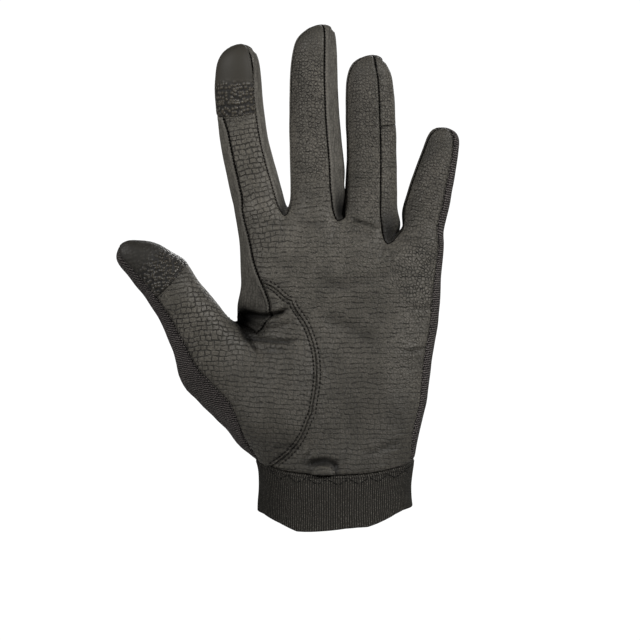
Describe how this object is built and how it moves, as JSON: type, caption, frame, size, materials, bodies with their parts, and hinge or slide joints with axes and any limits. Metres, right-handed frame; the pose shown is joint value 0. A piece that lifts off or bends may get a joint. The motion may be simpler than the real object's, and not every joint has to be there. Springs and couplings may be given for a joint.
{
  "type": "horse riding glove",
  "caption": "Left-hand riding glove with an embossed leather palm and thumb, knit back, grip patches on thumb and index tip, and a short ribbed elastic cuff.",
  "frame": {"origin": "centre of the wrist opening, in the plane of the cuff's hem", "axes": "+Z along the hand towards the fingertips, +Y out of the back of the hand, so that the palm faces -Y, and +X towards the little finger"},
  "size_m": [0.1389, 0.0449, 0.2069],
  "materials": {
    "embossed_leather": "dark grey synthetic leather embossed with small cells, low sheen",
    "side_strip": "dark grey suede-like synthetic leather, matt",
    "grip_patch": "near-black pebbled grip leather with small glints",
    "knit": "near-black finely ribbed knit, matt",
    "elastic_rib": "near-black finely ribbed elastic, matt"
  },
  "bodies": {
    "root": {"palm_panel": "embossed_leather", "thumb_panel": "embossed_leather", "back_panel": "knit", "index_side_wall": "side_strip", "sidewall_index_middle": "side_strip", "sidewall_middle_ring": "side_strip", "sidewall_ring_little": "embossed_leather", "sidewall_ring_tip": "embossed_leather", "index_touch_patch": "grip_patch", "thumb_touch_patch": "grip_patch", "cuff": "elastic_rib", "wrist_tab": "grip_patch"}
  },
  "joints": []
}
